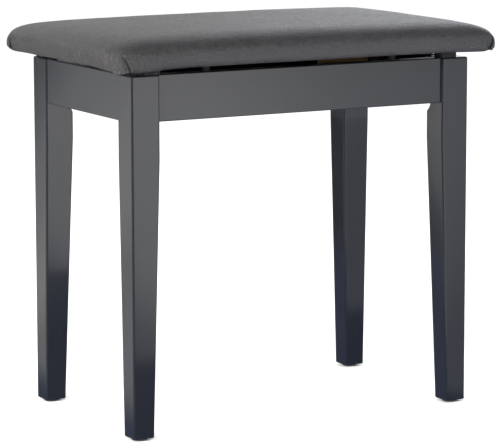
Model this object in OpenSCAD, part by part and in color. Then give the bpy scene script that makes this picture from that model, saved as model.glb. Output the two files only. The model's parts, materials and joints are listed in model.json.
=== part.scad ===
// Piano bench with a lift-up padded lid over a shallow music compartment.
// Origin: on the floor under the middle of the bench. X runs along the front, the front is at -Y.

/* [Bench] */
// Height from the floor to the top of the padded seat
bench_h = 490; // [470:1:510]
// Width of the leg frame, outside the legs
frame_w = 474; // [450:1:540]
// Depth of the leg frame, outside the legs
frame_d = 280; // [270:1:320]
// Shadow gap between the aprons and the underside of the lid
lid_gap = 10.5; // [10:0.5:14]

/* [Legs] */
// Side of the square leg at its top
leg_w = 38; // [36:1:42]
// Side of the leg at its foot
foot_w = 28; // [24:1:34]
// Height at which the two inner faces begin to taper
taper_z = 341; // [300:1:350]
// Radius of the leg's edges
leg_edge_r = 2.5; // [1.5:0.5:4]
// Depth of the flat cut along each leg's inner corner
corner_cut = 7; // [5:0.5:8]
// Height over which that flat runs out in a curve below the apron
cut_runout = 14; // [10:1:20]

/* [Aprons] */
// Height of the aprons
apron_h = 57; // [54:1:62]
// Thickness of the front and back aprons
apron_t = 16; // [15:0.5:18]
// Distance by which the legs stand proud of the front and back aprons
apron_setback = 4; // [2:0.5:5]
// Distance by which the legs stand proud of the side aprons
side_setback = 2; // [1:0.5:4]
// Radius of the aprons' long edges
apron_edge_r = 1.5; // [0.5:0.5:3]

/* [Music compartment] */
// Thickness of the bottom panel
panel_t = 4; // [3:0.5:5]
// Height of the cleats that carry the panel
cleat_h = 8; // [6:0.5:9]
// Depth of the cleats
cleat_d = 10; // [8:1:12]
// Thickness of the diagonal corner blocks
block_t = 15; // [14:0.5:16]
// Height of the corner blocks
block_h = 38; // [34:1:40]

/* [Seat] */
// Width of the padded seat
seat_w = 532; // [522:1:560]
// Depth of the padded seat
seat_d = 340; // [334:1:360]
// Thickness of the padded seat, with its board
seat_t = 35; // [32:1:38]
// Thickness of the plywood seat board
board_t = 12; // [9:0.5:13]
// Thickness of the cover
cover_t = 1.2; // [0.8:0.1:1.6]
// Radius of the seat's corners in plan
seat_corner_r = 21; // [16:1:30]
// Distance from the seat's edge over which its top falls away
crown_run = 58; // [40:1:70]
// Height by which it falls
crown_drop = 28; // [24:1:29]
// Radius of the lower edge of the seat
lip_r = 5; // [3:0.5:6]

/* [Hinges] */
// Length of each butt hinge
hinge_len = 50; // [40:1:60]
// Distance of each hinge from the middle of the bench
hinge_x = 150; // [110:1:170]
// Radius of the hinge barrel
knuckle_r = 2.5; // [2:0.1:2.6]
// Radius of the hinge pin
hinge_pin_r = 1.25; // [1:0.05:1.3]
// Thickness of the hinge leaves
leaf_t = 1.2; // [1:0.1:1.3]

/* [Lid stay] */
// Radius of the rounded ends of the stay's arms
arm_r = 7; // [6:0.5:7]
// Radius of the stay's pivot pins
pivot_r = 2.5; // [2:0.1:2.8]
// Thickness of the stay's arms
arm_t = 2; // [1.5:0.1:2]

/* [Feet and bumpers] */
// Height of the nail-on glides
glide_h = 3; // [2:0.5:5]
// Radius of the glides
glide_r = 10; // [8:0.5:11]
// Distance of each rubber bumper from the middle of the front apron
bumper_x = 131; // [90:1:160]
// Radius of the bumpers
bumper_r = 5; // [4:0.5:6]
// Side of the square pad on each leg
pad_w = 20; // [14:1:22]

/* [Hidden] */

$fn = 48;
// Facets of the rounded corners inside hulls
hull_fn = 32;
// A sliver that vanishes inside a hull or a joint, and the height of one layer of the seat's form
thin = 0.01;
layer_h = 0.2;
// Radial clearance of a running fit, and the gap left between pieces that move past each other
fit = 0.05;
air = 0.3;

// Levels
lid_z = bench_h - seat_t;
leg_top = lid_z - lid_gap;
apron_z = leg_top - apron_h;
board_z = lid_z + cover_t;
cleat_z = apron_z + 1;
panel_z = cleat_z + cleat_h;
block_z = panel_z + panel_t + 1.5;
cleat_edge_r = 1;

// Corners of the frame, as signs of X and Y
FL = [-1, -1];
FR = [1, -1];
BL = [-1, 1];
BR = [1, 1];
CORNERS = [FL, FR, BL, BR];

// Faces of the aprons, measured from the middle of the bench
apron_out_x = frame_w / 2 - apron_setback;
apron_out_y = frame_d / 2 - apron_setback;
apron_in_x = apron_out_x - apron_t;
apron_in_y = apron_out_y - apron_t;

// Along each corner's diagonal: the leg's flat, the block's two faces
flat_u = leg_w * sqrt(2) - corner_cut;
block_u = flat_u + 1;
block_back_u = block_u + block_t;
runout_r = (cut_runout * cut_runout + corner_cut * corner_cut) / (2 * corner_cut);

// Hanger bolts and what is on them
bolt_r = 3;
bolt_pilot_r = 2.5;
bolt_in_leg = 28;
washer_t = 1.5;
washer_r = 6;
nut_t = 5;
nut_r = 5.8;
bolt_tail = 3;
bolt_heights = [block_z + 9, block_z + block_h - 9];

// Block screws, as distances from the frame's outer faces
block_screw_r = 2;
block_screw_head_r = 4;
block_screw_len = 20;
block_screw_sunk = 8;
block_screw_run = apron_setback + apron_t + 36;
block_screw_heights = [block_z + 8, block_z + block_h - 8];

// Hinge: the axis runs along X, behind the back apron and just under the lid
axis_y = apron_out_y + knuckle_r;
axis_z = lid_z - 4;
leaf_w = 20;
knuckles = 5;
knuckle_play = 0.2;
hinge_screws = [-17, 0, 17];
hinge_screw_r = 1.5;
hinge_screw_head_r = 2.9;
hinge_screw_len = 12;
hinge_pilot_r = hinge_screw_r - 0.4;
hinge_screw_row = 12;

// Lid stay: frame pivot and lid pivot; the middle pivot closes a parallelogram with the hinge
stay_a = [28.5, leg_top - 19.5];
stay_b = [axis_y - 88, axis_z - 7];
stay_m = stay_a + stay_b - [axis_y, axis_z];
plate_t = 1.5;
lower_arm_x = -apron_in_x + plate_t + 1.5;
upper_arm_x = lower_arm_x + arm_t + 0.4;
bracket_x = upper_arm_x + arm_t + 0.4;
rivet_head_r = 4;
rivet_head_t = 0.8;
bracket_len = 36;
bracket_flange = 20;
bracket_screw_x = 11;
bracket_screw_y = 11;
bracket_screw_len = 12;
plate_len = 40;
plate_w = 18;
plate_screw_y = 14;
plate_screw_len = 13;
stay_screw_r = 1.6;
stay_screw_head_r = 3;

// Seat board, set in from the seat's edge by the cover and the foam drawn down beside it
board_inset = cover_t + lip_r + 1.5;
board_w = seat_w - 2 * board_inset;
board_d = seat_d - 2 * board_inset;

// Lid underside
lining_w = 2 * 196;
lining_d = 2 * 117;
lining_t = 0.6;
cover_lap = 8;
lining_corner_r = 4;
opening_w = lining_w - 2 * cover_lap;
opening_d = lining_d - 2 * cover_lap;
opening_corner_r = 3;
staple_w = 10;
staple_wire = 0.6;
staple_leg = 7;
staple_pitch = 42;
staple_inset = 5;

// Glides and their nails
glide_bevel = 1.2;
nail_head_r = 3.2;
nail_r = 1.1;
nail_len = 16;

// Rest stops under the lid
stop_h = lid_gap - air;
bumper_stem_r = 2;
bumper_stem = 6;
bumper_bevel = 1.5;
pad_edge_r = 1;
front_pad = [209, -frame_d / 2 + pad_w / 2];
back_pad = [224, frame_d / 2 - pad_w / 2 - 4];

// Moves a piece made at the origin, with +X and +Y pointing inwards, to a corner of the frame
module at_corner(corner) {
    translate([corner.x * frame_w / 2, corner.y * frame_d / 2, 0])
        mirror([corner.x > 0 ? 1 : 0, 0, 0])
            mirror([0, corner.y > 0 ? 1 : 0, 0])
                children();
}

// Lays a piece made along +Z onto the corner's diagonal, at a distance and a height
module on_diagonal(distance, height) {
    rotate([0, 0, 45])
        translate([distance, 0, height])
            rotate([0, 90, 0])
                children();
}

// A bar along X with its four long edges rounded, centred on X
module rounded_bar(length, depth, height, r) {
    translate([-length / 2, 0, 0])
        rotate([90, 0, 90])
            linear_extrude(length) {
                translate([r, 0]) square([depth - 2 * r, height]);
                translate([0, r]) square([depth, height - 2 * r]);
                for (x = [r, depth - r], y = [r, height - r])
                    translate([x, y]) circle(r);
            }
}

// Countersunk screw pointing along +Z, its flat head flush with Z = 0
module wood_screw(length, shank_r, head_r) {
    head = head_r - shank_r;
    cylinder(r1 = head_r, r2 = shank_r, h = head);
    translate([0, 0, head - thin]) cylinder(r = shank_r, h = length - head - 2 * shank_r);
    translate([0, 0, length - 2 * shank_r - 2 * thin]) cylinder(r1 = shank_r, r2 = 0.3, h = 2 * shank_r);
}

// ---- Legs ----

module leg_posts(width, z) {
    for (x = [leg_edge_r, width - leg_edge_r], y = [leg_edge_r, width - leg_edge_r])
        translate([x, y, z]) children();
}

module leg_blank() {
    foot_bevel = 1.2;
    hull() {
        leg_posts(leg_w, leg_top - leg_edge_r) sphere(r = leg_edge_r, $fn = hull_fn);
        leg_posts(leg_w, taper_z) cylinder(r = leg_edge_r, h = thin, $fn = hull_fn);
        leg_posts(foot_w, glide_h)
            cylinder(r1 = leg_edge_r - foot_bevel, r2 = leg_edge_r, h = foot_bevel, $fn = hull_fn);
    }
}

// The flat on the inner corner, with its curved run-out below the apron
module corner_flat() {
    rotate([0, 0, 45]) {
        translate([flat_u, -leg_w, apron_z]) cube([leg_w, 2 * leg_w, leg_top]);
        translate([flat_u + runout_r, 0, apron_z])
            rotate([90, 0, 0])
                cylinder(r = runout_r, h = 2 * leg_w, center = true, $fn = 96);
    }
}

module leg(corner) {
    color([0.06, 0.06, 0.07])
        at_corner(corner)
            difference() {
                leg_blank();
                corner_flat();
                for (z = bolt_heights)
                    on_diagonal(flat_u - bolt_in_leg, z) cylinder(r = bolt_pilot_r, h = leg_w);
            }
}

// ---- Aprons ----

module apron_bar(length, thick) {
    translate([0, 0, apron_z]) rounded_bar(length, thick, apron_h, apron_edge_r);
}

module apron_front() {
    color([0.07, 0.07, 0.08])
        difference() {
            translate([0, -apron_out_y, 0]) apron_bar(frame_w - 2 * leg_w, apron_t);
            for (side = [-1, 1])
                translate([side * bumper_x, -apron_out_y + apron_t / 2, leg_top - bumper_stem - 1])
                    cylinder(r = bumper_stem_r + fit, h = bumper_stem + 2);
        }
}

module apron_back() {
    color([0.07, 0.07, 0.08])
        difference() {
            translate([0, apron_in_y, 0]) apron_bar(frame_w - 2 * leg_w, apron_t);
            hinge_fixed_holes();
        }
}

module apron_side(side) {
    out_x = frame_w / 2 - side_setback;
    color([0.07, 0.07, 0.08])
        translate([side > 0 ? out_x : -apron_in_x, 0, 0])
            rotate([0, 0, 90]) apron_bar(frame_d - 2 * leg_w, out_x - apron_in_x);
}

// ---- Corner blocks and the hardware that draws the legs in ----

module corner_block(corner) {
    inner = apron_setback + apron_t;
    front = block_u * sqrt(2) - inner;
    back = block_back_u * sqrt(2) - inner;
    color([0.62, 0.47, 0.30])
        at_corner(corner)
            difference() {
                translate([0, 0, block_z])
                    linear_extrude(block_h)
                        polygon([[inner, front], [front, inner], [back, inner], [inner, back]]);
                for (z = bolt_heights)
                    on_diagonal(block_u - 2, z) cylinder(r = bolt_r + 0.5, h = block_t + 4);
                block_screw_places() {
                    translate([0, 0, -leg_w]) cylinder(r = block_screw_head_r + fit, h = leg_w);
                    cylinder(r = block_screw_r + 0.25, h = leg_w);
                    wood_screw(block_screw_len, block_screw_r + fit, block_screw_head_r + fit);
                }
            }
}

// Two screws at each end of a block, driven square into the apron that it meets
module block_screw_places() {
    depth = apron_setback + apron_t + block_screw_sunk;
    for (z = block_screw_heights) {
        translate([block_screw_run, depth, z]) rotate([90, 0, 0]) children();
        translate([depth, block_screw_run, z]) rotate([0, -90, 0]) children();
    }
}

module corner_block_screws() {
    color([0.75, 0.68, 0.42])
        for (corner = CORNERS)
            at_corner(corner)
                block_screw_places() wood_screw(block_screw_len, block_screw_r, block_screw_head_r);
}

module hanger_bolts() {
    tail_u = block_back_u + washer_t + nut_t + bolt_tail;
    color([0.70, 0.70, 0.72])
        for (corner = CORNERS, z = bolt_heights)
            at_corner(corner)
                on_diagonal(flat_u - bolt_in_leg + 1, z) {
                    cylinder(r1 = 1, r2 = bolt_r, h = 5);
                    translate([0, 0, 5]) cylinder(r = bolt_r, h = tail_u - flat_u + bolt_in_leg - 7);
                    translate([0, 0, tail_u - flat_u + bolt_in_leg - 2])
                        cylinder(r1 = bolt_r, r2 = bolt_r - 0.8, h = 1);
                }
}

module leg_washers() {
    color([0.72, 0.72, 0.74])
        for (corner = CORNERS, z = bolt_heights)
            at_corner(corner)
                on_diagonal(block_back_u, z)
                    difference() {
                        cylinder(r = washer_r, h = washer_t);
                        translate([0, 0, -1]) cylinder(r = bolt_r + 0.3, h = washer_t + 2);
                    }
}

module leg_nuts() {
    color([0.72, 0.72, 0.74])
        for (corner = CORNERS, z = bolt_heights)
            at_corner(corner)
                on_diagonal(block_back_u + washer_t, z)
                    difference() {
                        intersection() {
                            cylinder(r = nut_r, h = nut_t, $fn = 6);
                            cylinder(r1 = nut_r + 2, r2 = nut_r - 0.5, h = nut_t);
                        }
                        translate([0, 0, -1]) cylinder(r = bolt_r + fit, h = nut_t + 2);
                    }
}

// ---- Bottom of the music compartment ----

module bottom_panel() {
    play = 0.5;
    w = 2 * (apron_in_x - play);
    d = 2 * (apron_in_y - play);
    notch = leg_w + play + 1;
    color([0.55, 0.42, 0.28])
        difference() {
            translate([-w / 2, -d / 2, panel_z]) cube([w, d, panel_t]);
            for (corner = CORNERS)
                at_corner(corner)
                    translate([-1, -1, panel_z - 1]) cube([notch, notch, panel_t + 2]);
        }
}

module cleat_long(side) {
    length = frame_w - 2 * leg_w - 1;
    color([0.60, 0.46, 0.30])
        translate([0, side > 0 ? apron_in_y - cleat_d : -apron_in_y, cleat_z])
            rounded_bar(length, cleat_d, cleat_h, cleat_edge_r);
}

module cleat_short(side) {
    length = frame_d - 2 * leg_w - 1;
    color([0.60, 0.46, 0.30])
        translate([side > 0 ? apron_in_x : -apron_in_x + cleat_d, 0, cleat_z])
            rotate([0, 0, 90]) rounded_bar(length, cleat_d, cleat_h, cleat_edge_r);
}

// Fine brads through the cleats into the aprons
module cleat_pins() {
    brad_r = 0.8;
    brad_len = 20;
    head_t = 0.6;
    z = cleat_z + cleat_h / 2;
    color([0.65, 0.65, 0.67])
        for (side = [-1, 1]) {
            for (x = [-165, -55, 55, 165])
                translate([x, side * (apron_in_y - cleat_d - head_t), z])
                    rotate([side * -90, 0, 0]) {
                        cylinder(r = brad_r, h = brad_len);
                        cylinder(r = 2 * brad_r, h = head_t);
                    }
            for (y = [-75, 0, 75])
                translate([side * (apron_in_x - cleat_d - head_t), y, z])
                    rotate([0, side * 90, 0]) {
                        cylinder(r = brad_r, h = brad_len);
                        cylinder(r = 2 * brad_r, h = head_t);
                    }
        }
}

// ---- Glides ----

module glide(corner) {
    color([0.30, 0.30, 0.31])
        at_corner(corner)
            translate([foot_w / 2, foot_w / 2, 0])
                difference() {
                    union() {
                        cylinder(r1 = glide_r - glide_bevel, r2 = glide_r, h = glide_bevel);
                        translate([0, 0, glide_bevel]) cylinder(r = glide_r, h = glide_h - glide_bevel);
                    }
                    translate([0, 0, 1]) cylinder(r = nail_head_r + fit, h = 1);
                    translate([0, 0, 1]) cylinder(r = nail_r + fit, h = glide_h);
                }
}

module glide_nails() {
    color([0.70, 0.70, 0.72])
        for (corner = CORNERS)
            at_corner(corner)
                translate([foot_w / 2, foot_w / 2, 1]) {
                    cylinder(r = nail_head_r, h = 1);
                    cylinder(r = nail_r, h = nail_len);
                    translate([0, 0, nail_len]) cylinder(r1 = nail_r, r2 = 0.2, h = 2);
                }
}

// ---- Stops that the closed lid rests on ----

module bumper(side) {
    color([0.05, 0.05, 0.05])
        translate([side * bumper_x, -apron_out_y + apron_t / 2, leg_top])
            union() {
                translate([0, 0, -bumper_stem]) cylinder(r = bumper_stem_r, h = bumper_stem);
                cylinder(r = bumper_r, h = stop_h - bumper_bevel);
                translate([0, 0, stop_h - bumper_bevel])
                    cylinder(r1 = bumper_r, r2 = bumper_r - bumper_bevel, h = bumper_bevel);
            }
}

module leg_pad(side, place) {
    color([0.10, 0.10, 0.10])
        translate([side * place.x, place.y - pad_w / 2, leg_top])
            rounded_bar(pad_w, pad_w, stop_h, pad_edge_r);
}

// ---- Hinges ----

// A child at each of the two hinges
module hinge_row() {
    for (side = [-1, 1])
        translate([side * hinge_x, 0, 0]) children();
}

// Knuckles from a list of places, joined to their leaf by a web of the leaf's thickness
module barrel(places, web_from, web_size) {
    pitch = hinge_len / knuckles;
    for (i = places)
        translate([-hinge_len / 2 + i * pitch + knuckle_play, 0, 0]) {
            translate([0, axis_y, axis_z])
                rotate([0, 90, 0])
                    cylinder(r = knuckle_r, h = pitch - 2 * knuckle_play);
            translate([0, web_from.x, web_from.y])
                cube([pitch - 2 * knuckle_play, web_size.x, web_size.y]);
        }
}

module pin_bore(r) {
    translate([-hinge_len, axis_y, axis_z])
        rotate([0, 90, 0])
            cylinder(r = r, h = 2 * hinge_len);
}

// A hinge screw, or its hole when given a clearance
module hinge_screw(clearance) {
    wood_screw(hinge_screw_len, hinge_screw_r + clearance, hinge_screw_head_r + clearance);
}

module hinge_fixed_screw_places() {
    for (x = hinge_screws)
        translate([x, apron_out_y + leaf_t, axis_z - hinge_screw_row]) rotate([90, 0, 0]) children();
}

module hinge_lid_screw_places() {
    for (x = hinge_screws)
        translate([x, axis_y - hinge_screw_row, lid_z - leaf_t]) children();
}

module hinge_fixed_holes() {
    hinge_row() hinge_fixed_screw_places() cylinder(r = hinge_pilot_r, h = hinge_screw_len);
}

module hinge_lid_holes() {
    hinge_row() hinge_lid_screw_places() cylinder(r = hinge_pilot_r, h = hinge_screw_len);
}

module hinge_fixed_leaf(side) {
    edge_z = axis_z - knuckle_r - 0.5;
    color([0.78, 0.64, 0.33])
        translate([side * hinge_x, 0, 0])
            difference() {
                union() {
                    translate([-hinge_len / 2, apron_out_y, axis_z - leaf_w])
                        cube([hinge_len, leaf_t, edge_z - axis_z + leaf_w]);
                    barrel([0, 2, 4], [apron_out_y, edge_z - 1], [leaf_t, axis_z - edge_z + 1]);
                }
                pin_bore(hinge_pin_r + fit);
                hinge_fixed_screw_places() hinge_screw(fit);
            }
}

module hinge_lid_leaf(side) {
    color([0.78, 0.64, 0.33])
        translate([side * hinge_x, 0, 0])
            difference() {
                union() {
                    translate([-hinge_len / 2, axis_y - leaf_w + 1, lid_z - leaf_t])
                        cube([hinge_len, leaf_w - 1 - knuckle_r, leaf_t]);
                    barrel([1, 3], [axis_y - knuckle_r - 1, lid_z - 2.5], [knuckle_r + 1, 2.5]);
                }
                pin_bore(hinge_pin_r + fit);
                hinge_lid_screw_places() hinge_screw(fit);
            }
}

module hinge_pin(side) {
    color([0.74, 0.60, 0.30])
        translate([side * hinge_x - hinge_len / 2, axis_y, axis_z])
            rotate([0, 90, 0]) {
                translate([0, 0, -0.8]) cylinder(r1 = 1, r2 = 2, h = 0.8);
                cylinder(r = hinge_pin_r, h = hinge_len);
                translate([0, 0, hinge_len]) cylinder(r1 = 2, r2 = 1, h = 0.8);
            }
}

module hinge_fixed_screws() {
    color([0.74, 0.60, 0.30])
        hinge_row() hinge_fixed_screw_places() hinge_screw(0);
}

module hinge_lid_screws() {
    color([0.74, 0.60, 0.30])
        hinge_row() hinge_lid_screw_places() hinge_screw(0);
}

// ---- Lid stay, on the left inside the compartment; points are [y, z] ----

// Places a piece made along +Z so that it runs along +X from a stay point
module along_x(x, point) {
    translate([x, point.x, point.y]) rotate([0, 90, 0]) children();
}

// Flat bar with round ends between two stay points
module arm(x, from, to) {
    span = to - from;
    length = norm(span);
    translate([x, from.x, from.y])
        rotate([atan2(span.y, span.x), 0, 0])
            rotate([90, 0, 90])
                linear_extrude(arm_t) {
                    translate([0, -arm_r]) square([length, 2 * arm_r]);
                    circle(arm_r);
                    translate([length, 0]) circle(arm_r);
                }
}

// A screw of the stay, or its hole when given a clearance
module stay_screw(length, clearance) {
    wood_screw(length, stay_screw_r + clearance, stay_screw_head_r + clearance);
}

module stay_plate_screw_places() {
    for (dy = [-plate_screw_y, plate_screw_y])
        along_x(-apron_in_x + plate_t, stay_a + [dy, 0]) mirror([0, 0, 1]) children();
}

module stay_plate() {
    color([0.72, 0.72, 0.74])
        difference() {
            translate([-apron_in_x, stay_a.x - plate_len / 2, stay_a.y - plate_w / 2])
                cube([plate_t, plate_len, plate_w]);
            along_x(-apron_in_x - 1, stay_a) cylinder(r = pivot_r + fit, h = plate_t + 2);
            stay_plate_screw_places() stay_screw(plate_screw_len, fit);
        }
}

module stay_plate_screws() {
    color([0.75, 0.75, 0.77]) stay_plate_screw_places() stay_screw(plate_screw_len, 0);
}

module stay_plate_pin() {
    tip = lower_arm_x + arm_t;
    collar = lower_arm_x + apron_in_x - plate_t - air;
    color([0.75, 0.75, 0.77]) {
        along_x(-apron_in_x, stay_a) cylinder(r = pivot_r, h = tip + apron_in_x + 0.4);
        along_x(-apron_in_x + plate_t, stay_a) cylinder(r = rivet_head_r, h = collar);
        along_x(tip + air, stay_a) cylinder(r = rivet_head_r, h = rivet_head_t);
    }
}

module stay_lower_arm() {
    color([0.70, 0.70, 0.72])
        difference() {
            arm(lower_arm_x, stay_a, stay_m);
            along_x(lower_arm_x - 1, stay_a) cylinder(r = pivot_r + fit, h = arm_t + 2);
            along_x(lower_arm_x - 1, stay_m) cylinder(r = pivot_r + fit, h = arm_t + 2);
        }
}

module stay_middle_rivet() {
    tip = upper_arm_x + arm_t + air;
    color([0.75, 0.75, 0.77]) {
        along_x(lower_arm_x - rivet_head_t, stay_m) cylinder(r = rivet_head_r, h = rivet_head_t);
        along_x(lower_arm_x - thin, stay_m) cylinder(r = pivot_r, h = tip - lower_arm_x + 2 * thin);
        along_x(tip, stay_m) cylinder(r = rivet_head_r, h = rivet_head_t);
    }
}

// The hole on the middle rivet is oversize
module stay_upper_arm() {
    color([0.70, 0.70, 0.72])
        difference() {
            arm(upper_arm_x, stay_b, stay_m);
            along_x(upper_arm_x - 1, stay_b) cylinder(r = pivot_r + fit, h = arm_t + 2);
            along_x(upper_arm_x - 1, stay_m) cylinder(r = pivot_r + 0.35, h = arm_t + 2);
        }
}

module stay_bracket_screw_places() {
    for (dy = [-bracket_screw_y, bracket_screw_y])
        translate([bracket_x - bracket_screw_x, stay_b.x + dy, lid_z - plate_t]) children();
}

module stay_bracket() {
    color([0.72, 0.72, 0.74])
        difference() {
            union() {
                translate([bracket_x - bracket_flange, stay_b.x - bracket_len / 2, lid_z - plate_t])
                    cube([bracket_flange + plate_t, bracket_len, plate_t]);
                translate([bracket_x, stay_b.x - arm_r, stay_b.y])
                    cube([plate_t, 2 * arm_r, lid_z - stay_b.y]);
                along_x(bracket_x, stay_b) cylinder(r = arm_r, h = plate_t);
            }
            along_x(bracket_x - 1, stay_b) cylinder(r = pivot_r + fit, h = plate_t + 2);
            stay_bracket_screw_places() stay_screw(bracket_screw_len, fit);
        }
}

module stay_bracket_screws() {
    color([0.75, 0.75, 0.77]) stay_bracket_screw_places() stay_screw(bracket_screw_len, 0);
}

module stay_bracket_pin() {
    start = upper_arm_x - air - rivet_head_t;
    color([0.75, 0.75, 0.77]) {
        along_x(start, stay_b) cylinder(r = rivet_head_r, h = rivet_head_t);
        along_x(start, stay_b) cylinder(r = pivot_r, h = bracket_x + plate_t - start);
        along_x(bracket_x + plate_t, stay_b) cylinder(r = rivet_head_r, h = rivet_head_t);
    }
}

// ---- Padded lid ----

module rounded_plate(w, d, h, r) {
    translate([-w / 2 + r, -d / 2, 0]) cube([w - 2 * r, d, h]);
    translate([-w / 2, -d / 2 + r, 0]) cube([w, d - 2 * r, h]);
    for (x = [-w / 2 + r, w / 2 - r], y = [-d / 2 + r, d / 2 - r])
        translate([x, y, 0]) cylinder(r = r, h = h);
}

module seat_layer(inset, z) {
    x = seat_w / 2 - inset - seat_corner_r;
    y = seat_d / 2 - inset - seat_corner_r;
    for (corner = CORNERS)
        translate([corner.x * x, corner.y * y, z])
            cylinder(r = seat_corner_r, h = layer_h, $fn = hull_fn);
}

// The pad's outer form, or the same form set in by the thickness of its skin
module pad_form(skin) {
    crown_z = bench_h - layer_h;
    hull() {
        for (t = [0 : 15 : 90])
            seat_layer(skin + crown_run * (1 - cos(t)), crown_z - skin - crown_drop * (1 - sin(t)));
        seat_layer(skin, lid_z + lip_r);
        seat_layer(skin + lip_r * (1 - cos(45)), lid_z + lip_r * (1 - sin(45)) + skin);
        seat_layer(skin + lip_r, lid_z + skin);
    }
}

module seat_board() {
    color([0.66, 0.52, 0.35])
        difference() {
            translate([0, 0, board_z]) rounded_plate(board_w, board_d, board_t, seat_corner_r);
            hinge_lid_holes();
        }
}

module seat_foam() {
    color([0.85, 0.80, 0.62])
        difference() {
            pad_form(cover_t);
            translate([0, 0, lid_z - 1])
                rounded_plate(board_w, board_d, board_t + cover_t + 1, seat_corner_r);
        }
}

// Drawn down over the foam, wrapped under the board and open in the middle underneath
module seat_cover() {
    color([0.10, 0.10, 0.11])
        difference() {
            pad_form(0);
            pad_form(cover_t);
            translate([0, 0, lid_z - 1])
                rounded_plate(opening_w, opening_d, cover_t + 2, opening_corner_r);
        }
}

module lid_lining() {
    color([0.09, 0.09, 0.09])
        translate([0, 0, lid_z - lining_t]) rounded_plate(lining_w, lining_d, lining_t, lining_corner_r);
}

module staple() {
    translate([-staple_w / 2, -staple_wire / 2, -staple_wire]) cube([staple_w, staple_wire, staple_wire]);
    for (x = [-staple_w / 2, staple_w / 2 - staple_wire])
        translate([x, -staple_wire / 2, -thin]) cube([staple_wire, staple_wire, staple_leg]);
}

// Staples spread evenly along +X and -X, as far as a distance from the middle
module staple_run(reach) {
    gaps = round(2 * reach / staple_pitch);
    for (i = [0 : gaps])
        translate([reach * (2 * i / gaps - 1), 0, 0]) staple();
}

module lining_staples() {
    to_end = 2 * staple_inset + staple_w;
    color([0.75, 0.75, 0.77])
        translate([0, 0, lid_z - lining_t])
            for (side = [-1, 1]) {
                translate([0, side * (lining_d / 2 - staple_inset), 0])
                    staple_run(lining_w / 2 - to_end);
                translate([side * (lining_w / 2 - staple_inset), 0, 0])
                    rotate([0, 0, 90]) staple_run(lining_d / 2 - to_end);
            }
}

leg(FL);  // leg_front_left
leg(FR);  // leg_front_right
leg(BL);  // leg_back_left
leg(BR);  // leg_back_right
apron_front();
apron_back();
apron_side(-1);  // apron_left
apron_side(1);  // apron_right
corner_block(FL);  // corner_block_front_left
corner_block(FR);  // corner_block_front_right
corner_block(BL);  // corner_block_back_left
corner_block(BR);  // corner_block_back_right
corner_block_screws();
hanger_bolts();
leg_washers();
leg_nuts();
bottom_panel();
cleat_long(-1);  // cleat_front
cleat_long(1);  // cleat_back
cleat_short(-1);  // cleat_left
cleat_short(1);  // cleat_right
cleat_pins();
glide(FL);  // glide_front_left
glide(FR);  // glide_front_right
glide(BL);  // glide_back_left
glide(BR);  // glide_back_right
glide_nails();
bumper(-1);  // bumper_left
bumper(1);  // bumper_right
leg_pad(-1, front_pad);  // leg_pad_front_left
leg_pad(1, front_pad);  // leg_pad_front_right
leg_pad(-1, back_pad);  // leg_pad_back_left
leg_pad(1, back_pad);  // leg_pad_back_right
hinge_fixed_leaf(-1);  // hinge_fixed_leaf_left
hinge_fixed_leaf(1);  // hinge_fixed_leaf_right
hinge_pin(-1);  // hinge_pin_left
hinge_pin(1);  // hinge_pin_right
hinge_fixed_screws();
hinge_lid_leaf(-1);  // hinge_lid_leaf_left
hinge_lid_leaf(1);  // hinge_lid_leaf_right
hinge_lid_screws();
stay_plate();
stay_plate_screws();
stay_plate_pin();
stay_lower_arm();
stay_middle_rivet();
stay_upper_arm();
stay_bracket();
stay_bracket_screws();
stay_bracket_pin();
seat_board();
seat_foam();
seat_cover();
lid_lining();
lining_staples();
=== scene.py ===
import json
import math

import bmesh
import bpy
from mathutils import Matrix, Vector, noise
from mathutils.bvhtree import BVHTree


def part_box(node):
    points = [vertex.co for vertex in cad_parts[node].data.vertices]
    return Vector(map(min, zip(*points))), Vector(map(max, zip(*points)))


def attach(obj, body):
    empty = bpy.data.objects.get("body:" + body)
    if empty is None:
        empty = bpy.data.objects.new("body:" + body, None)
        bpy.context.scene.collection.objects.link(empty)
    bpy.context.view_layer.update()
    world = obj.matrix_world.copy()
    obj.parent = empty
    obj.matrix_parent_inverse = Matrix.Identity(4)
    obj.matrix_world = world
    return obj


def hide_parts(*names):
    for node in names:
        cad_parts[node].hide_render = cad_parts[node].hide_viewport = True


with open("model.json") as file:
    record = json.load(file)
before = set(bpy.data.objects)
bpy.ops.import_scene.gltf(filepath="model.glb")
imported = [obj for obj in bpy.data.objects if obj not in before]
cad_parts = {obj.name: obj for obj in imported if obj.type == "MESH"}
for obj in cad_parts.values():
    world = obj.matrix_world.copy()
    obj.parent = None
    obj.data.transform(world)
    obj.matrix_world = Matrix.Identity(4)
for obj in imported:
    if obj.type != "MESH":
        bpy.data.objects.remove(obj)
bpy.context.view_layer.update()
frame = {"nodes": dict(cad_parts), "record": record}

MM = 0.001
NODES = frame["nodes"]
CORNERS = {
    "front_left": (-1, -1),
    "front_right": (1, -1),
    "back_left": (-1, 1),
    "back_right": (1, 1),
}


# ---------------------------------------------------------------- shader maths


class Value:
    """A socket that carries a number, so that shader maths reads as arithmetic."""

    def __init__(self, finish, socket):
        self.finish = finish
        self.socket = socket

    def maths(self, operation, *inputs):
        return self.finish.node("ShaderNodeMath", {"operation": operation}, *inputs)

    def __add__(self, other):
        return self.maths("ADD", self, other)

    def __radd__(self, other):
        return self.maths("ADD", other, self)

    def __sub__(self, other):
        return self.maths("SUBTRACT", self, other)

    def __rsub__(self, other):
        return self.maths("SUBTRACT", other, self)

    def __mul__(self, other):
        return self.maths("MULTIPLY", self, other)

    def __rmul__(self, other):
        return self.maths("MULTIPLY", other, self)


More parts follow.
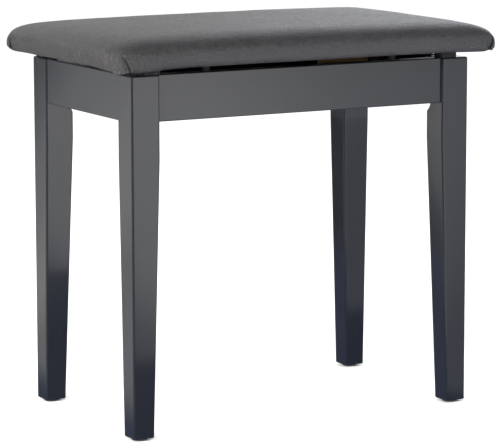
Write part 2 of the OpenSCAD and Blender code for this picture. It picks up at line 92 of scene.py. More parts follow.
class Finish:
    """A node tree under construction: a material's or the surroundings'."""

    def __init__(self, tree):
        self.tree = tree
        tree.nodes.clear()

    def node(self, kind, settings=None, *inputs, out=0, **named):
        """Adds a node. Settings come first, then sockets by place or by name; returns one output."""
        made = self.tree.nodes.new(kind)
        for key, value in (settings or {}).items():
            if key == "stops":
                self.set_stops(made.color_ramp, value)
            elif key == "spline":
                made.color_ramp.interpolation = value
            else:
                setattr(made, key, value)
        for place, value in enumerate(inputs):
            self.feed(made.inputs[place], value)
        for name, value in named.items():
            self.feed(made.inputs[name.replace("_", " ")], value)
        return Value(self, made.outputs[out]) if made.outputs else None

    def feed(self, socket, value):
        if isinstance(value, Value):
            self.tree.links.new(value.socket, socket)
        elif value is not None:
            socket.default_value = value

    @staticmethod
    def set_stops(ramp, stops):
        while len(ramp.elements) < len(stops):
            ramp.elements.new(1.0)
        for element, (place, colour) in zip(ramp.elements, stops):
            element.position = place
            element.color = (*colour, 1.0) if len(colour) == 3 else (colour[0],) * 3 + (1.0,)

    def place(self):
        """The point on the piece, in metres."""
        return self.node("ShaderNodeTexCoord", out=3)

    def stretched(self, size, turn=(0, 0, 0)):
        """The place, scaled along each axis and turned, for grain that has a direction."""
        return self.node("ShaderNodeMapping", None, self.place(), None, turn, size)

    def clouds(self, scale, detail=3.0, rough=0.5, where=None):
        """Soft noise from 0 to 1, scale cells to the metre."""
        return self.node("ShaderNodeTexNoise", None, where or self.place(), None, scale, detail, rough)

    def cells(self, scale, feature="F1", where=None, jitter=1.0):
        return self.node(
            "ShaderNodeTexVoronoi",
            {"feature": feature},
            where or self.place(),
            Scale=scale,
            Randomness=jitter,
        )

    def remap(self, value, low, high, to_low=0.0, to_high=1.0, smooth=True):
        kind = {"interpolation_type": "SMOOTHSTEP" if smooth else "LINEAR"}
        return self.node("ShaderNodeMapRange", kind, value, low, high, to_low, to_high)

    def blend(self, share, first, second):
        """A colour part of the way from the first to the second."""
        made = self.node("ShaderNodeMix", {"data_type": "RGBA"}, out=2)
        mix = made.socket.node
        for socket, value in zip((mix.inputs[0], mix.inputs[6], mix.inputs[7]), (share, first, second)):
            if isinstance(value, tuple) and len(value) == 3:
                value = (*value, 1.0)
            self.feed(socket, value)
        return made

    def ramp(self, value, stops, spline="LINEAR"):
        return self.node("ShaderNodeValToRGB", {"stops": stops, "spline": spline}, value)

    def bump(self, height, depth, strength=1.0, over=None):
        """A normal from a height of 0 to 1 that stands for a depth in metres."""
        return self.node(
            "ShaderNodeBump", None, Strength=strength, Distance=depth, Height=height, Normal=over
        )


def new_finish(name):
    material = bpy.data.materials.new(name)
    material.use_nodes = True
    return material, Finish(material.node_tree)


def principled(finish, **sockets):
    """Ends the material in one Principled shader; names give its sockets, with _ for a space."""
    shader = finish.node("ShaderNodeBsdfPrincipled", None, **sockets)
    finish.node("ShaderNodeOutputMaterial", None, shader)


def coloured(red, green, blue):
    return (red, green, blue, 1.0)


# ---------------------------------------------------------------- finishes


def black_lacquer():
    """Sprayed and polished black lacquer: a clear coat with faint orange peel over a blue-black ground."""
    material, f = new_finish("black_lacquer")
    haze = f.clouds(9, 4, 0.55)
    dust = f.remap(f.clouds(900, 2, 0.6), 0.66, 0.78)
    ground = f.blend(haze, coloured(0.0068, 0.0078, 0.0105), coloured(0.0100, 0.0113, 0.0142))
    ground = f.blend(dust * 0.05, ground, coloured(0.25, 0.25, 0.26))
    peel = f.clouds(240, 2, 0.5)
    sway = f.clouds(16, 2, 0.4)
    level = f.bump(sway, 0.0004, 0.16)
    principled(
        f,
        Base_Color=ground,
        Roughness=0.16 + haze * 0.08,
        Specular_IOR_Level=0.5,
        IOR=1.5,
        Coat_Weight=1.0,
        Coat_Roughness=0.045,
        Coat_IOR=1.6,
        Normal=f.bump(peel, 0.00004, 0.10, level),
    )
    return material


def black_vinyl():
    """Upholstery vinyl: fine pebbled grain, semi-matt, a little polished where it is sat on."""
    material, f = new_finish("black_vinyl")
    pebble = f.cells(760, "F1")
    crease = f.remap(f.cells(520, "DISTANCE_TO_EDGE"), 0.0, 0.14)
    mottle = f.clouds(30, 4, 0.6)
    fleck = f.remap(f.clouds(260, 3, 0.6), 0.34, 0.66)
    grain = pebble * 0.5 + crease * 0.5
    shade = mottle * 0.6 + fleck * 0.4
    colour = f.blend(shade, coloured(0.015, 0.015, 0.016), coloured(0.040, 0.040, 0.042))
    colour = f.blend(f.remap(grain, 0.15, 0.55) * 0.5 + 0.5, coloured(0.012, 0.012, 0.013), colour)
    soft = f.bump(fleck, 0.0007, 0.65, f.bump(mottle, 0.0014, 0.26))
    principled(
        f,
        Base_Color=colour,
        Roughness=0.31 + f.clouds(55, 3, 0.6) * 0.12 + fleck * 0.10,
        Specular_IOR_Level=0.5,
        IOR=1.9,
        Normal=f.bump(grain, 0.00016, 0.5, soft),
    )
    return material


def wood(name, light, dark, along="X", rings=26.0, rough=0.62):
    """Planed, unfinished timber with its grain along one axis."""
    material, f = new_finish(name)
    stretch = {"X": (0.06, 1, 1), "Y": (1, 0.06, 1), "Z": (1, 1, 0.06)}[along]
    where = f.stretched(stretch)
    figure = f.clouds(rings, 5, 0.62, where)
    pores = f.remap(f.clouds(620, 3, 0.6, where), 0.56, 0.72)
    colour = f.ramp(figure, [(0.30, dark), (0.50, light), (0.72, dark)])
    colour = f.blend(pores * 0.45, colour, coloured(*[0.35 * c for c in dark]))
    height = figure * 0.4 + (1 - pores) * 0.6
    principled(
        f,
        Base_Color=colour,
        Roughness=rough - pores * 0.08,
        Specular_IOR_Level=0.35,
        Normal=f.bump(height, 0.00025, 0.5),
    )
    return material


def hardboard():
    """Smooth-faced pressed board with fine dark fibres."""
    material, f = new_finish("panel_board")
    fibre = f.clouds(420, 4, 0.7, f.stretched((1, 0.35, 1)))
    patch = f.clouds(14, 3, 0.5)
    colour = f.blend(patch, coloured(0.17, 0.095, 0.050), coloured(0.25, 0.150, 0.080))
    colour = f.blend(f.remap(fibre, 0.55, 0.75) * 0.6, colour, coloured(0.08, 0.045, 0.025))
    principled(f, Base_Color=colour, Roughness=0.5 + fibre * 0.2, Normal=f.bump(fibre, 0.0002, 0.35))
    return material


def metal(name, tint, rough, brushed=(1, 1, 1), tarnish=0.25):
    """Plated metal with a brushed or tumbled face and slight tarnish."""
    material, f = new_finish(name)
    streaks = f.clouds(1400, 3, 0.6, f.stretched(brushed))
    stain = f.remap(f.clouds(70, 4, 0.6), 0.45, 0.75)
    dull = coloured(*[0.55 * c for c in tint])
    principled(
        f,
        Base_Color=f.blend(stain * tarnish, coloured(*tint), dull),
        Metallic=1.0,
        Roughness=rough + streaks * 0.14 + stain * 0.10,
        Normal=f.bump(streaks, 0.00005, 0.35),
    )
    return material


def moulded(name, dark, light, rough, pitch=700.0, depth=0.00006):
    """Moulded plastic or rubber with a fine spark-eroded face."""
    material, f = new_finish(name)
    grit = f.clouds(pitch, 3, 0.6)
    scuff = f.remap(f.clouds(60, 4, 0.6), 0.5, 0.75)
    principled(
        f,
        Base_Color=f.blend(scuff, coloured(*dark), coloured(*light)),
        Roughness=rough + grit * 0.12,
        Normal=f.bump(grit, depth, 0.5),
    )
    return material


def lining_cloth():
    """Thin non-woven cloth with a faint bonded dot pattern."""
    material, f = new_finish("lining_cloth")
    fibres = f.clouds(900, 4, 0.7)
    dots = f.remap(f.cells(520, "F1", jitter=0.15), 0.16, 0.30)
    colour = f.blend(fibres, coloured(0.012, 0.012, 0.013), coloured(0.035, 0.035, 0.037))
    colour = f.blend((1 - dots) * 0.5, colour, coloured(0.008, 0.008, 0.008))
    height = dots * 0.6 + fibres * 0.4
    principled(
        f,
        Base_Color=colour,
        Roughness=0.85,
        Specular_IOR_Level=0.15,
        Sheen_Weight=0.05,
        Normal=f.bump(height, 0.00015, 0.7),
    )
    return material


FINISHES = {
    "black_lacquer": black_lacquer(),
    "black_vinyl": black_vinyl(),
    "bare_wood": wood("bare_wood", (0.42, 0.26, 0.13), (0.30, 0.17, 0.08)),
    "plywood": wood("plywood", (0.48, 0.33, 0.18), (0.36, 0.23, 0.12)),
    "panel_board": hardboard(),
    "zinc_steel": metal("zinc_steel", (0.62, 0.63, 0.66), 0.24),
    "brass_screw": metal("brass_screw", (0.62, 0.50, 0.24), 0.26),
    "hinge_brass": metal("hinge_brass", (0.66, 0.47, 0.19), 0.22, (0.08, 1, 1)),
    "nickel_steel": metal("nickel_steel", (0.60, 0.59, 0.57), 0.22, (1, 0.1, 1)),
    "glide_plastic": moulded("glide_plastic", (0.055, 0.055, 0.058), (0.085, 0.085, 0.088), 0.42),
    "black_rubber": moulded("black_rubber", (0.010, 0.010, 0.011), (0.022, 0.022, 0.023), 0.62),
    "lining_cloth": lining_cloth(),
    "foam": moulded("foam", (0.60, 0.54, 0.34), (0.70, 0.64, 0.44), 0.85, 900.0, 0.0006),
}


# ---------------------------------------------------------------- pieces carried over from the CAD frame


ARRIS_ANGLE = math.radians(28)


def smooth_all(mesh):
    for face in mesh.polygons:
        face.use_smooth = True


def dress_cad_nodes():
    """Gives every carried-over node its finish, with smooth rounds and crisp arrises."""
    slots = {row["node"]: row["material_slot"] for row in frame["record"]["subparts"]}
    for name, piece in NODES.items():
        mesh = piece.data
        mesh.materials.clear()
        mesh.materials.append(FINISHES[slots[name]])
        smooth_all(mesh)
        mesh.set_sharp_from_angle(angle=ARRIS_ANGLE)


# ---------------------------------------------------------------- the padded lid

COVER_LOW, COVER_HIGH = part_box("seat_cover")
LINING_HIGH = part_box("lid_lining")[1]
HALF_W = COVER_HIGH.x
HALF_D = COVER_HIGH.y
LID_Z = COVER_LOW.z
TOP_Z = COVER_HIGH.z

# Over the shoulder run the top falls away to the sides, whose lower edge turns in by the lip run
SHOULDER_RUN = 60 * MM
SIDE_H = 10 * MM
LIP_RUN = 6.0 * MM
LIP_STEPS = 6
UNDERSIDE_STEPS = 5
# How far the turned-under cover reaches in behind the lining's edge
LINING_LAP = 6 * MM
# Room left for the pad to swell into, the most that a point may swell, and how firmly the foam resists
SWELL_ROOM = 2.2 * MM
SWELL_CAP = 5 * MM
FOAM_HOLD = 0.14
PRESSURE = 4
SWELL_FRAMES = 20


def grid_lines(half, steps=14, pitch=5.5 * MM):
    """Places of the grid lines across the seat: close together near the rims, even in the middle."""
    rim = [half - SHOULDER_RUN * (k / steps) ** 2 for k in range(steps + 1)]
    flat = half - SHOULDER_RUN
    count = round(2 * flat / pitch)
    middle = [-flat + 2 * flat * k / count for k in range(1, count)]
    return [-x for x in rim] + middle + rim[::-1]


def softened(x, y):
    """Rounds the corner of the grid, and gives how far down the shoulder the point lies, 0 to 1."""
    ex = max(0.0, (abs(x) - HALF_W + SHOULDER_RUN) / SHOULDER_RUN)
    ey = max(0.0, (abs(y) - HALF_D + SHOULDER_RUN) / SHOULDER_RUN)
    reach = max(ex, ey)
    if ex > 0 and ey > 0:
        power = 2.8 + 3.0 * reach**2
        shrink = reach / (ex**power + ey**power) ** (1 / power)
        x = math.copysign(HALF_W - SHOULDER_RUN + SHOULDER_RUN * ex * shrink, x)
        y = math.copysign(HALF_D - SHOULDER_RUN + SHOULDER_RUN * ey * shrink, y)
    return x, y, min(reach, 1.0)


def fullness(x, y):
    """How square the shoulder is: full along the sides, drawn down at the corners."""
    return 2.75 + 0.65 * eased(max(HALF_W - abs(x), HALF_D - abs(y)), 30 * MM, 120 * MM)


def pad_surface():
    """The seat before it is stuffed, with quads that follow its rims, open behind the lining."""
    mesh = bmesh.new()
    xs, ys = grid_lines(HALF_W), grid_lines(HALF_D)
    side_top = LID_Z + SIDE_H
    drop = TOP_Z - SWELL_ROOM - side_top
    rows = []
    for x in xs:
        row = []
        for y in ys:
            px, py, reach = softened(x, y)
            power = fullness(px, py)
            height = max(0.0, 1 - reach**power) ** (1 / power)
            row.append(mesh.verts.new((px, py, side_top + drop * height)))
        rows.append(row)
    for a, b in zip(rows, rows[1:]):
        for j in range(len(ys) - 1):
            mesh.faces.new((a[j], b[j], b[j + 1], a[j + 1]))
    rim = [row[0] for row in rows] + rows[-1][1:] + [row[-1] for row in rows[-2::-1]] + rows[0][-2:0:-1]
    turn_under(mesh, rim, side_top)
    return mesh


def turn_under(mesh, rim, side_top):
    """Rolls the rim under the board and carries the cover in until the lining hides it."""
    loop = rim
    for k in range(1, LIP_STEPS + 1):
        turn = math.pi / 2 * k / LIP_STEPS
        inset = LIP_RUN * (1 - math.cos(turn))
        z = side_top - (side_top - LID_Z) * math.sin(turn)
        shrink = Vector((1 - inset / HALF_W, 1 - inset / HALF_D))
        fresh = [mesh.verts.new((v.co.x * shrink.x, v.co.y * shrink.y, z)) for v in rim]
        bridge(mesh, loop, fresh)
        loop = fresh
    wide = Vector((LINING_HIGH.x - LINING_LAP, LINING_HIGH.y - LINING_LAP))
    start = loop
    for k in range(1, UNDERSIDE_STEPS + 1):
        share = k / UNDERSIDE_STEPS
        fresh = []
        for v in start:
            sx = 1 - share * (1 - wide.x / (HALF_W - LIP_RUN))
            sy = 1 - share * (1 - wide.y / (HALF_D - LIP_RUN))
            fresh.append(mesh.verts.new((v.co.x * sx, v.co.y * sy, LID_Z)))
        bridge(mesh, loop, fresh)
        loop = fresh


def bridge(mesh, upper, lower):
    """Joins two loops of points by a band of quads."""
    for i in range(len(upper)):
        j = (i + 1) % len(upper)
        mesh.faces.new((upper[j], upper[i], lower[i], lower[j]))


def as_piece(name, mesh, finish):
    """Makes an object of a bmesh and gives it a finish."""
    bmesh.ops.recalc_face_normals(mesh, faces=mesh.faces)
    data = bpy.data.meshes.new(name)
    mesh.to_mesh(data)
    mesh.free()
    smooth_all(data)
    data.materials.append(FINISHES[finish])
    piece = bpy.data.objects.new(name, data)
    bpy.context.scene.collection.objects.link(piece)
    return piece


def apply_modifiers(piece):
    """Keeps the piece's evaluated shape as its own mesh."""
    graph = bpy.context.evaluated_depsgraph_get()
    shaped = bpy.data.meshes.new_from_object(piece.evaluated_get(graph))
    piece.modifiers.clear()
    piece.data = shaped


def thicken(piece, thickness):
    """Gives a single surface the thickness of its cloth, half on each side."""
    thick = piece.modifiers.new("thick", "SOLIDIFY")
    thick.thickness = thickness
    thick.offset = 0
    apply_modifiers(piece)
    smooth_all(piece.data)


CORNER_R = 21 * MM
FOLD_H = 20 * MM


def crease_angle(up):
    """Where the pleat's crease lies round the corner, in degrees: it leans to the lid's end as it rises."""
    return 66 - 34 * min(1, max(0, up)) ** 1.4


def stuff_by_simulation(piece):
    """Blows the cover up like a stuffed pad: its lower edge is held and the foam resists the rest."""
    held = piece.vertex_groups.new(name="held")
    for v in piece.data.vertices:
        low = v.co.z < LID_Z + SIDE_H + 0.5 * MM
        held.add([v.index], 1.0 if low else FOAM_HOLD, "REPLACE")
    rest = [v.co.copy() for v in piece.data.vertices]
    cloth = piece.modifiers.new("cloth", "CLOTH")
    settings = cloth.settings
    settings.quality = 6
    settings.mass = 0.35
    settings.tension_stiffness = 18
    settings.compression_stiffness = 18
    settings.shear_stiffness = 8
    settings.bending_stiffness = 0.6
    settings.use_pressure = True
    settings.uniform_pressure_force = PRESSURE
    settings.effector_weights.gravity = 0
    settings.vertex_group_mass = "held"
    cloth.collision_settings.use_collision = False
    scene = bpy.context.scene
    for step in range(1, SWELL_FRAMES + 1):
        scene.frame_set(step)
    apply_modifiers(piece)
    scene.frame_set(1)
    for v, home in zip(piece.data.vertices, rest):
        move = v.co - home
        if move.length > SWELL_CAP:
            v.co = home + move * (SWELL_CAP / move.length)


def eased(value, low, high):
    """0 below low, 1 above high, and a smooth rise between them."""
    share = min(1.0, max(0.0, (value - low) / (high - low)))
    return share * share * (3 - 2 * share)


def nearness_to_corner(co):
    """1 at a corner of the lid, falling to 0 along its sides."""
    along = min(HALF_W - abs(co.x), HALF_D - abs(co.y)) + max(HALF_W - abs(co.x), HALF_D - abs(co.y))
    return 1 - eased(along, 12 * MM, 85 * MM)


def sag_lip(co):
    """How far the loose lower edge of the cover hangs at a point."""
    inset = min(HALF_W - abs(co.x), HALF_D - abs(co.y))
    at_rim = 1 - eased(inset, 5 * MM, 16 * MM)
    low = 1 - eased(co.z, LID_Z + 2 * MM, LID_Z + 17 * MM)
    behind = 0.15 * eased(co.y, 0.10, 0.15)
    to_left = eased(-co.x, 0.15, 0.24)
    wander = 0.5 + 0.5 * noise.noise(Vector((co.x, co.y, 0.3)) * 14)
    depth = (0.6 * MM + 0.9 * MM * wander + 2.0 * MM * to_left) * (1 - behind)
    return at_rim * low * (depth + 1.9 * MM * nearness_to_corner(co))


def pucker(co):
    """Small upright gathers in the side near each corner, where the cover is pulled round."""
    up = co.z - LID_Z
    band = eased(up, 0.5 * MM, 5 * MM) * (1 - eased(up, 11 * MM, 21 * MM))
    along = abs(co.x) + abs(co.y) + 2 * MM * noise.noise(co * 60)
    wave = math.sin(along * 2 * math.pi / (7.5 * MM) + 2.0 * noise.noise(co * 25))
    strength = nearness_to_corner(co) ** 0.7 * (0.65 + 0.35 * noise.noise(co * 40 + Vector((3, 1, 2))))
    return 0.75 * MM * wave * band * strength


def groove(co):
    """The cover sinks beside the pleat at each corner: at its crease, and at its open end."""
    dx, dy = abs(co.x) - (HALF_W - CORNER_R), abs(co.y) - (HALF_D - CORNER_R)
    if dx < -10 * MM or dy < -10 * MM:
        return 0.0
    turn = math.degrees(math.atan2(dy, dx))
    up = (co.z - LID_Z) / FOLD_H
    low = 1 - eased(up, 0.55, 0.95)
    crease = math.exp(-(((turn - crease_angle(up) - 3.5) / 4.5) ** 2)) * low
    slit = math.exp(-(((turn + 9) / 4.0) ** 2)) * (1 - eased(up, 0.25, 0.50))
    return 1.8 * MM * crease + 3.0 * MM * slit


def end_bulge(co):
    """How far the foam swells out at the two ends of the lid, halfway up their sides."""
    up = co.z - LID_Z
    band = eased(up, 4 * MM, 13 * MM) * (1 - eased(up, 17 * MM, 30 * MM))
    inland = eased(HALF_D - abs(co.y), 15 * MM, 45 * MM)
    return 2.0 * MM * band * eased(abs(co.x), HALF_W - 22 * MM, HALF_W - 6 * MM) * inland


def work_the_cover(piece):
    """Hand-laid unevenness: slow rises over the foam, a sagging lip, and gathers at the corners."""
    normals = [v.normal.copy() for v in piece.data.vertices]
    for v, normal in zip(piece.data.vertices, normals):
        co = v.co.copy()
        outside = 1 - (1 - eased(co.z, LID_Z + 0.5 * MM, LID_Z + 3 * MM)) * eased(
            min(HALF_W - abs(co.x), HALF_D - abs(co.y)), 6 * MM, 12 * MM
        )
        slow = noise.noise(co * 13) * 0.40 * MM + noise.noise(co * 31 + Vector((7, 3, 1))) * 0.22 * MM
        v.co = co + normal * ((slow + pucker(co) + end_bulge(co) - groove(co)) * outside)
        v.co.z -= sag_lip(co)


def close_behind_lining(piece):
    """Fills the opening behind the lining with one face."""
    mesh = bmesh.new()
    mesh.from_mesh(piece.data)
    rim = [edge for edge in mesh.edges if edge.is_boundary]
    bmesh.ops.contextual_create(mesh, geom=rim)
    bmesh.ops.recalc_face_normals(mesh, faces=mesh.faces)
    mesh.to_mesh(piece.data)
    mesh.free()


def make_seat_pad():
    piece = as_piece("seat_pad", pad_surface(), "black_vinyl")
    stuff_by_simulation(piece)
    fine = piece.modifiers.new("fine", "SUBSURF")
    fine.levels = fine.render_levels = 1
    apply_modifiers(piece)
    work_the_cover(piece)
    close_behind_lining(piece)
    smooth_all(piece.data)
    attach(piece, "lid")
    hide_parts("seat_cover", "seat_foam")
    return piece


# How far each pleat's hem hangs: no two are folded alike
FOLD_HANG = {"front_left": 1.1, "front_right": 0.25, "back_left": 0.2, "back_right": 0.4}
FOLD_STEPS_ROUND = 40
FOLD_STEPS_UP = 26
FOLD_SHARP = math.radians(50)
COVER_T = 1.1 * MM


def make_corner_fold(name, side_x, side_y, hang, skin):
    """The pleat of cover turned round a corner: a flap that ends in a crease and hangs under the lip."""
    mesh = bmesh.new()
    hub = Vector((side_x * (HALF_W - CORNER_R), side_y * (HALF_D - CORNER_R), 0))
    rows = []
    for j in range(FOLD_STEPS_UP + 1):
        up = j / FOLD_STEPS_UP
        row = []
        for i in range(FOLD_STEPS_ROUND + 1):
            round_share = i / FOLD_STEPS_ROUND
            row.append(mesh.verts.new(fold_point(hub, side_x, side_y, hang, round_share, up, skin)))
        rows.append(row)
    for lower, upper in zip(rows, rows[1:]):
        for i in range(FOLD_STEPS_ROUND):
            mesh.faces.new((lower[i], lower[i + 1], upper[i + 1], upper[i]))
    piece = as_piece(name, mesh, "black_vinyl")
    thicken(piece, COVER_T)
    piece.data.set_sharp_from_angle(angle=FOLD_SHARP)
    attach(piece, "lid")
    return piece


def fold_point(hub, side_x, side_y, hang, round_share, up, skin):
    """A point of the pleat: round_share runs from the lid's end to the crease, up from hem to top."""
    angle = math.radians(-6 + (crease_angle(up) + 6) * round_share)
    outward = Vector((side_x * math.cos(angle), side_y * math.sin(angle), 0))
    droop = 1.4 + 2.2 * math.sin(math.pi * min(1, round_share * 0.85 + 0.1))
    hem = LID_Z - (0.5 + 0.5 * min(1, hang) + hang * droop) * MM
    top = LID_Z + FOLD_H
    z = hem + (top - hem) * up
    look = Vector((hub.x, hub.y, max(z, LID_Z + 5.5 * MM)))
    hit = skin.ray_cast(look, outward)[0] or look + outward * CORNER_R
    lift = 1.5 * MM * (1 - eased(up, 0.35, 0.95)) - 0.9 * MM * eased(up, 0.55, 1.0)
    lift += 0.9 * MM * eased(round_share, 0.60, 0.95) * (1 - up)
    lift -= 0.35 * MM * (1 - eased(round_share, 0.0, 0.12))
    tuck = (3.2 - 1.5 * min(1, hang)) * MM * eased(LID_Z + 3 * MM - z, 0, 4 * MM)
    point = hit + outward * (lift - tuck)
    return (point.x, point.y, z)


def make_corner_folds(pad):
    mesh = bmesh.new()
    mesh.from_mesh(pad.data)
    skin = BVHTree.FromBMesh(mesh)
    mesh.free()
    for place, (side_x, side_y) in CORNERS.items():
        make_corner_fold("corner_fold_" + place, side_x, side_y, FOLD_HANG[place], skin)


LINING_T = 0.35 * MM
LINING_COLUMNS = 98
LINING_ROWS = 60


def make_lining():
    """The dust cloth under the lid: its hem is turned in, and it sags a little between its staples."""
    half_w, half_d = LINING_HIGH.x, LINING_HIGH.y
    top = LINING_HIGH.z - 0.25 * MM
    mesh = bmesh.new()
    grid = []
    for i in range(LINING_COLUMNS + 1):
        x = half_w * (2 * i / LINING_COLUMNS - 1)
        line = []
        for j in range(LINING_ROWS + 1):
            y = half_d * (2 * j / LINING_ROWS - 1)
            inset = min(half_w - abs(x), half_d - abs(y))
            belly = eased(inset, 9 * MM, 60 * MM)
            ripple = noise.noise(Vector((x, y, 0)) * 22) * eased(inset, 8 * MM, 22 * MM)
            hem = 1 - eased(inset, 8 * MM, 10 * MM)
            z = top - 1.3 * MM * belly - 0.35 * MM * (1 + ripple) * belly - 0.12 * MM * hem
            line.append(mesh.verts.new((x, y, z)))
        grid.append(line)
    for a, b in zip(grid, grid[1:]):
        for j in range(LINING_ROWS):
            mesh.faces.new((a[j], b[j], b[j + 1], a[j + 1]))
    piece = as_piece("lining_sheet", mesh, "lining_cloth")
    thicken(piece, LINING_T)
    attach(piece, "lid")
    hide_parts("lid_lining")


# ---------------------------------------------------------------- studio

CAMERA_AIM = Vector((-0.008, -0.014, 0.2335))
CAMERA_AZIMUTH = -28.76
CAMERA_ELEVATION = 9.1
CAMERA_ROLL = -0.08
CAMERA_DISTANCE = 3.66
CAMERA_LENS = 207.5


def set_up_camera():
    azimuth, elevation = math.radians(CAMERA_AZIMUTH), math.radians(CAMERA_ELEVATION)
    level_run = math.cos(elevation)
    back = Vector((math.sin(azimuth) * level_run, -math.cos(azimuth) * level_run, math.sin(elevation)))
    right = Vector((0, 0, 1)).cross(back).normalized()
    level = Matrix((right, back.cross(right), back)).transposed()
    turn = Matrix.Rotation(math.radians(CAMERA_ROLL), 3, back)
    data = bpy.data.cameras.new("camera")
    data.lens = CAMERA_LENS
    data.sensor_width = 36
    data.clip_start, data.clip_end = 0.1, 100
    camera = bpy.data.objects.new("camera", data)
    camera.matrix_world = Matrix.Translation(CAMERA_AIM + back * CAMERA_DISTANCE) @ (turn @ level).to_4x4()
    bpy.context.scene.collection.objects.link(camera)
    bpy.context.scene.camera = camera


# The studio's horizon as reflections see it: angle in degrees from +X towards +Y, brightness, blueness
HORIZON = [
    (-180, 0.30, 0.3),
    (-160, 0.12, 0.8),
    (-100, 0.12, 0.8),
    (-84, 0.50, 0.6),
    (-73, 1.08, 0.1),
    (-66, 1.22, 0.0),
    (-58, 0.70, 0.2),
    (-49, 0.33, 1.0),
    (-25, 0.36, 1.4),
    (10, 0.45, 0.8),
    (52, 0.80, 0.2),
    (74, 0.80, 0.2),
    (84, 0.45, 0.4),
    (94, 0.03, 2.0),
    (113, 0.02, 2.0),
    (116, 0.06, 1.6),
    (118.5, 0.45, 0.0),
    (123, 0.62, -0.2),
    (129, 0.38, -0.1),
    (141, 0.42, 0.4),
    (180, 0.30, 0.3),
]
PEAK = 1.25


def tinted(level, blueness):
    """A light's colour, from neutral to a cool blue, brighter by level."""
    return (level * (1 - 0.13 * blueness), level * (1 - 0.06 * blueness), level * (1 + 0.10 * blueness))


def horizon_light(f, x, y):
    """The horizon's colour in the direction of a point, as a share of PEAK."""
    angle = f.node("ShaderNodeMath", {"operation": "ARCTAN2"}, y, x)
    share = angle * (0.5 / math.pi) + 0.5
    stops = [((degrees + 180) / 360, tinted(level / PEAK, blue)) for degrees, level, blue in HORIZON]
    return f.ramp(share, stops, "EASE")


def set_up_surroundings():
    """A white studio: even light on all, and for reflections a bright horizon under a dark ceiling."""
    world = bpy.data.worlds.new("studio")
    world.use_nodes = True
    bpy.context.scene.world = world
    f = Finish(world.node_tree)
    direction = f.node("ShaderNodeTexCoord", out=0)
    split = f.node("ShaderNodeSeparateXYZ", None, direction)
    x, y, z = (Value(f, split.socket.node.outputs[i]) for i in range(3))
    stops = [(0.0, (1.0,)), (0.20, (0.9,)), (0.38, (0.30,)), (0.55, (0.06,)), (1.0, (0.04,))]
    height = f.ramp(z, stops, "B_SPLINE")
    sky = f.node("ShaderNodeVectorMath", {"operation": "MULTIPLY"}, horizon_light(f, x, y), height)
    sky = f.node("ShaderNodeVectorMath", {"operation": "ADD"}, sky, (0.015, 0.017, 0.020))
    mirrored = f.node("ShaderNodeBackground", None, sky, PEAK)
    even = f.node("ShaderNodeBackground", None, coloured(1, 1, 1), 1.18)
    path = f.node("ShaderNodeLightPath", out=3)
    f.node("ShaderNodeOutputWorld", None, f.node("ShaderNodeMixShader", None, path, even, mirrored))


FLOOR_HALF = 20.0
CARD_LIFT = 0.4 * MM
WINDOW_Y = 0.62
WINDOW_CORNERS = ((-0.7, 0.56), (1.5, 0.56), (1.5, 1.3), (-0.7, 1.3))


def flat_sheet(corners):
    mesh = bmesh.new()
    mesh.faces.new([mesh.verts.new(corner) for corner in corners])
    return mesh


def floor_sheet(z):
    """A large level square at a height."""
    signs = ((-1, -1), (1, -1), (1, 1), (-1, 1))
    return flat_sheet([(x * FLOOR_HALF, y * FLOOR_HALF, z) for x, y in signs])


def floor_paint():
    """Pale matt paint."""
    material, f = new_finish("floor_paint")
    shade = f.blend(f.clouds(3, 3, 0.5), coloured(0.86, 0.86, 0.86), coloured(0.88, 0.88, 0.88))
    principled(f, Base_Color=shade, Roughness=0.9, Specular_IOR_Level=0.1)
    return material


def set_up_floor():
    """The floor, with a card on it and a window behind it that only reflections see."""
    FINISHES["floor_paint"] = floor_paint()
    FINISHES["floor_card"] = floor_card()
    FINISHES["window_card"] = window_card()
    as_piece("floor", floor_sheet(0), "floor_paint")
    seen_by_gloss_only(as_piece("floor_card", floor_sheet(CARD_LIFT), "floor_card"))
    window = flat_sheet([(x, WINDOW_Y, z) for x, z in WINDOW_CORNERS])
    seen_by_gloss_only(as_piece("window_card", window, "window_card"))


def seen_by_gloss_only(card):
    card.visible_camera = False
    card.visible_diffuse = False
    card.visible_shadow = False
    card.visible_transmission = False


def glowing(f, colour, strength):
    """Ends a material that only gives light."""
    principled(
        f,
        Base_Color=coloured(0, 0, 0),
        Roughness=1.0,
        Specular_IOR_Level=0.0,
        Emission_Color=colour,
        Emission_Strength=strength,
    )


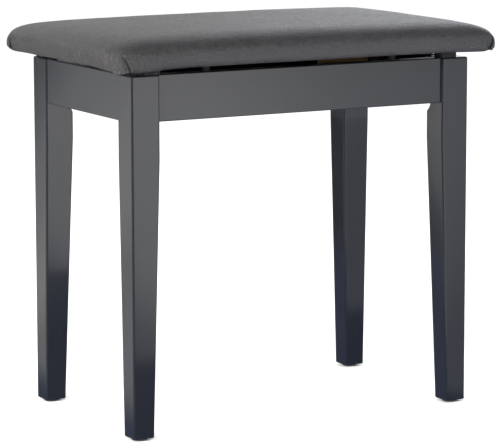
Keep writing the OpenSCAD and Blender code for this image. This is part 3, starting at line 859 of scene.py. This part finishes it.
def floor_card():
    """What the lacquer sees of the floor: bright towards the horizon's lamps, dark close to the bench."""
    material, f = new_finish("floor_card")
    split = f.node("ShaderNodeSeparateXYZ", None, f.place())
    x, y = (Value(f, split.socket.node.outputs[i]) for i in range(2))
    soft = 0.05
    front = f.remap(y, -0.56 - soft, -0.56 + soft) * f.remap(x, 0.24 - soft, 0.24 + soft, 1, 0)
    side = f.remap(y, -0.17 - soft, -0.17 + soft) * f.remap(x, 0.24 - soft, 0.24 + soft)
    left = f.remap(x, -0.31 - soft, -0.31 + soft)
    near = f.node("ShaderNodeMath", {"operation": "MINIMUM"}, front + side, 1.0) * left
    away = f.node("ShaderNodeVectorMath", {"operation": "LENGTH"}, f.place(), out=1)
    dark = near * f.remap(away, 0.7, 1.1, 1, 0)
    glowing(f, f.blend(dark, horizon_light(f, x, y), coloured(0.036, 0.050, 0.105)), PEAK)
    material.cycles.emission_sampling = "NONE"
    return material


def window_card():
    """A tall pale window behind the bench, brighter to the right, that the top of the seat mirrors."""
    material, f = new_finish("window_card")
    split = f.node("ShaderNodeSeparateXYZ", None, f.place())
    x, z = (Value(f, split.socket.node.outputs[i]) for i in (0, 2))
    pane = [(0.0, 0.31, 0.1), (0.45, 0.46, 0.0), (0.75, 1.05, 0.2), (1.0, 1.6, 0.4)]
    stops = [(place, tinted(level, blue)) for place, level, blue in pane]
    along = f.ramp(f.remap(x, -0.5, 1.1, smooth=False), stops)
    glow = f.blend(f.remap(z, 0.56, 1.15), along, coloured(0.04, 0.04, 0.05))
    glowing(f, glow, 2.3)
    material.cycles.emission_sampling = "NONE"
    return material


def set_up_lights():
    """Soft lamps that light the shapes without showing in the gloss."""
    lamps = [
        ("key", (-1.6, -1.8, 2.6), 2.2, 62.0, (1, 1, 1)),
        ("side", (-2.4, -0.5, 0.6), 1.1, 125.0, (1, 0.94, 0.84)),
        ("fill", (2.2, -1.4, 2.0), 2.4, 26.0, (1, 1, 1)),
        ("back", (0.6, 2.2, 2.4), 2.0, 24.0, (1, 1, 1)),
    ]
    for name, where, size, watts, tint in lamps:
        data = bpy.data.lights.new(name, "AREA")
        data.shape = "DISK"
        data.size = size
        data.energy = watts
        data.color = tint
        lamp = bpy.data.objects.new(name, data)
        lamp.location = where
        lamp.rotation_mode = "QUATERNION"
        lamp.rotation_quaternion = (Vector((0, 0, 0.3)) - Vector(where)).to_track_quat("-Z", "Y")
        lamp.visible_glossy = False
        bpy.context.scene.collection.objects.link(lamp)
    bpy.context.scene.view_settings.view_transform = "Standard"


set_up_camera()
set_up_surroundings()
set_up_floor()
set_up_lights()
dress_cad_nodes()
make_corner_folds(make_seat_pad())
make_lining()
